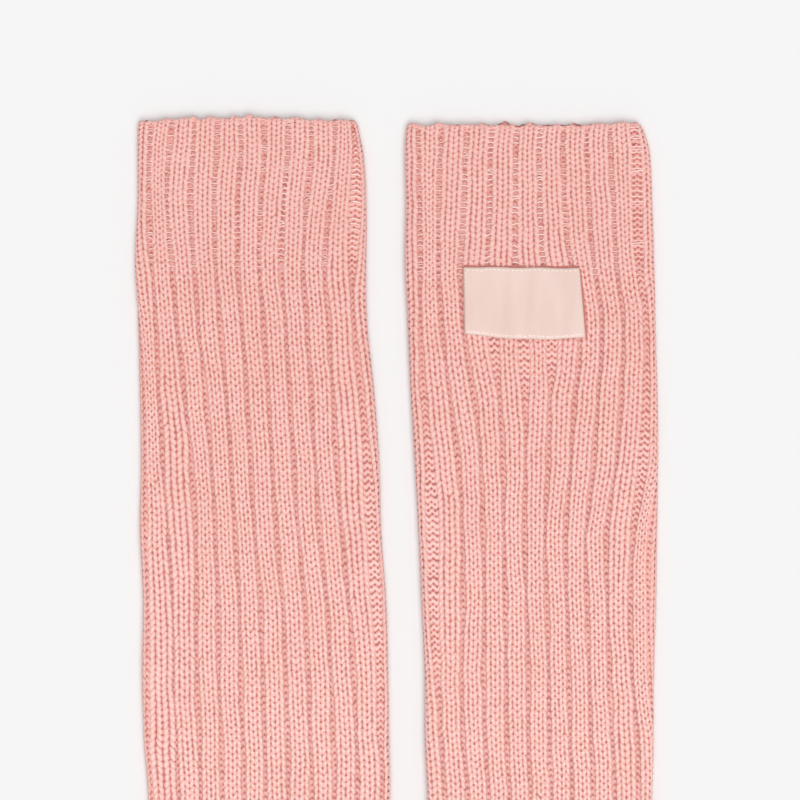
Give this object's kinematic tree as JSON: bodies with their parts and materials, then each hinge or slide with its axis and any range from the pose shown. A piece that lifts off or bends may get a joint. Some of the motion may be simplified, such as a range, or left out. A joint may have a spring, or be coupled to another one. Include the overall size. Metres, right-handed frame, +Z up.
{
  "type": "pair of leg warmers",
  "caption": "Rib-knit tubes that warm the lower legs, laid flat side by side, with a stretchy top band knitted on and a bare woven label sewn to one front.",
  "frame": {"origin": "on the surface that the pair lies on, under the middle of the pair's box", "axes": "+Z up from the surface, +Y towards the top bands, X across the pair with the labelled tube on the +X side"},
  "size_m": [0.2621, 0.544, 0.0083],
  "materials": {
    "rib_knit": "soft matt salmon-pink wool-blend yarn in a two by two rib, with fine pale elastic threads in the top band",
    "label_satin": "pale pink-beige woven satin ribbon with a soft sheen"
  },
  "bodies": {
    "root": {"left_tube": "rib_knit", "right_tube": "rib_knit", "label": "label_satin"}
  },
  "joints": []
}
